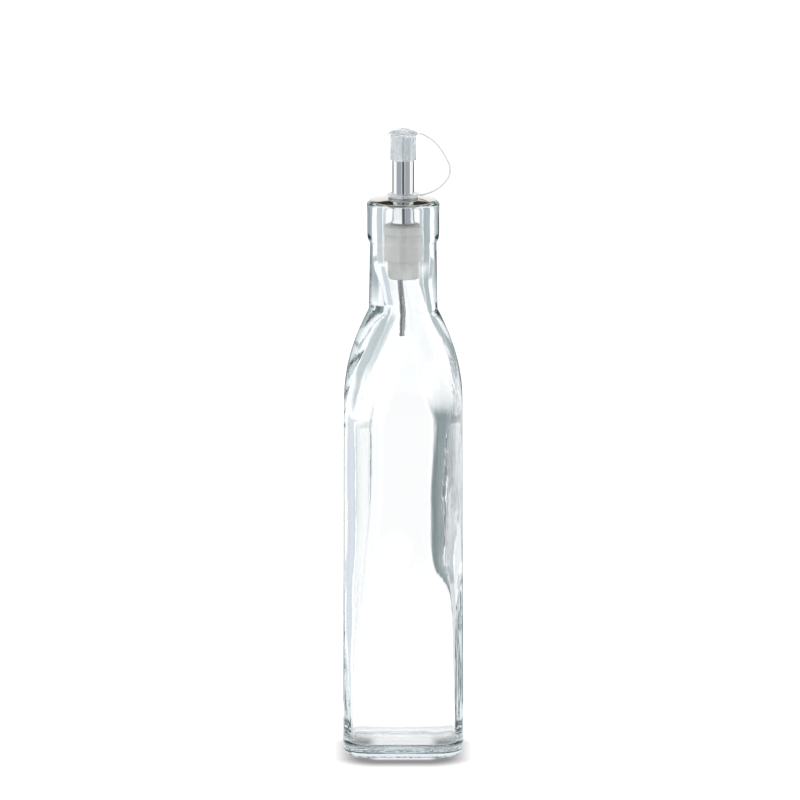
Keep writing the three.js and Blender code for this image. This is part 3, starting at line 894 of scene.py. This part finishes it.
def cards():
    """The cards, each for the lines and dark edges that it puts in the glass or in the metal."""
    card("front_dark", 164, 196, 0.0, 0.9, (0.13, 0.14, 0.15), 0.4, SOMETIMES)
    card("front_left", 190, 262, 0.0, 0.9, (0.42, 0.46, 0.49), 0.42, SOMETIMES, NEVER)
    card("front_right", 98, 170, 0.0, 0.9, (0.42, 0.46, 0.49), 0.42, SOMETIMES)
    card("side_left", -105, -40, 0.0, 0.2, (0.76, 0.8, 0.86), 0.13, SOMETIMES, SOMETIMES)
    card("side_right", 50, 105, 0.0, 0.2, (0.9, 0.93, 0.95), 0.13, SOMETIMES, SOMETIMES)
    card("line_left", -160, -84, 0.0, 0.18, (0.08, 0.12, 0.12), 0.12, SOMETIMES, SOMETIMES)
    for mirrorings, crossings in ((ONCE, THRICE_OR_MORE), (TWICE_OR_MORE, SOMETIMES)):
        card("line_right", 10, 172, 0.0, 0.18, (0.05, 0.09, 0.09), 0.14, mirrorings, crossings)
    card("back_right", 13, 48, 0.0, 0.18, (0.25, 0.3, 0.31), 0.12, NEVER)
    card("rim_left", -62, -6, 0.0, 0.29, (0.08, 0.11, 0.11), 0.12, ONCE, NEVER)
    card("rim_right", 6, 62, 0.0, 0.29, (0.08, 0.11, 0.11), 0.12, ONCE, NEVER)
    card("neck_left", -78, -27, 0.192, 0.32, (0.6, 0.65, 0.67), 0.12, ONCE_AT_MOST, SOMETIMES)
    card("neck_right", 25, 78, 0.192, 0.32, (0.42, 0.48, 0.5), 0.12, ONCE_AT_MOST, SOMETIMES)
    card("base_back", -60, 60, 0.07, 0.13, (0.52, 0.56, 0.6), 0.49, SOMETIMES)
    card("edge_left", -58, -34, 0.3, 0.9, (0.25, 0.25, 0.25), 0.5, ONCE, NEVER)
    card("edge_right", 34, 60, 0.3, 0.9, (0.42, 0.4, 0.37), 0.5, ONCE, NEVER)
    card("overhead", -80, 80, 0.6, 2.0, (0.06, 0.045, 0.03), 0.9, ONCE, NEVER)


def studio():
    world = bpy.data.worlds.new("studio")
    bpy.context.scene.world = world
    world.use_nodes = True
    world.node_tree.nodes["Background"].inputs["Color"].default_value = (1, 1, 1, 1)
    world.node_tree.nodes["Background"].inputs["Strength"].default_value = ROOM_LIGHT
    bpy.context.scene.view_settings.view_transform = "Standard"
    bm = bmesh.new()
    bmesh.ops.create_circle(bm, cap_ends=True, segments=64, radius=TABLE_R)
    stage_object("table", bm, pale_table())
    cards()


def clear_light_paths():
    """Lets light bounce often enough inside thick glass to come out again."""
    cycles = bpy.context.scene.cycles
    cycles.max_bounces = 32
    cycles.glossy_bounces = 24
    cycles.transmission_bounces = 32
    cycles.transparent_max_bounces = 16


CAMERA_ELEVATION = 11.2
CAMERA_DISTANCE = 12
CAMERA_TARGET = (-0.0016, 0, 0.1761)
VIEW_WIDTH = 0.3968
SENSOR_WIDTH = 36


def camera():
    """Looks down at the bottle from a distance with a long lens."""
    data = bpy.data.cameras.new("camera")
    made = bpy.data.objects.new("camera", data)
    bpy.context.scene.collection.objects.link(made)
    bpy.context.scene.camera = made
    elevation = math.radians(CAMERA_ELEVATION)
    back = Vector((0, -math.cos(elevation), math.sin(elevation)))
    made.location = Vector(CAMERA_TARGET) + back * CAMERA_DISTANCE
    made.rotation_euler = back.to_track_quat("Z", "Y").to_euler()
    data.sensor_width = SENSOR_WIDTH
    data.lens = SENSOR_WIDTH * CAMERA_DISTANCE / VIEW_WIDTH
    data.clip_end = 50


camera()
studio()
clear_light_paths()
marks = handling_group()
skin = skin_group()
cork = soft_plastic("milky_plastic", (0.74, 0.75, 0.73), 0.5, marks, skin, (0.3, 0.5))
clear = soft_plastic("clear_soft_plastic", (0.88, 0.92, 0.955), 0.72, marks, skin, (0.1, 0.25))
soft = soft_plastic("soft_strap_plastic", (0.68, 0.68, 0.66), 0.1, marks, skin, (0.25, 0.45))
steel = polished_steel("polished_steel", (0.82, 0.82, 0.83), marks, skin, POLISHED, DRAWN_OUT, 0.002)
# The drip disc has the spout's polished steel made darker and yellower: a painted shade that dims what it
# mirrors.
disc_steel_painted_shade = polished_steel("steel_with_painted_shade", (0.48, 0.48, 0.44), marks, skin, POLISHED, EVEN, 0.002)
drawn = polished_steel("drawn_steel", (0.4, 0.41, 0.42), marks, skin, DULLED, DRAWN_OUT, 0.004)
glass_bottle(clear_glass(skin))
stopper_cork(cork)
spout_tube(steel)
drip_disc(disc_steel_painted_shade)
vent_tube(drawn)
spout_cap(clear)
tether_ring(clear)
tether_strap(soft)
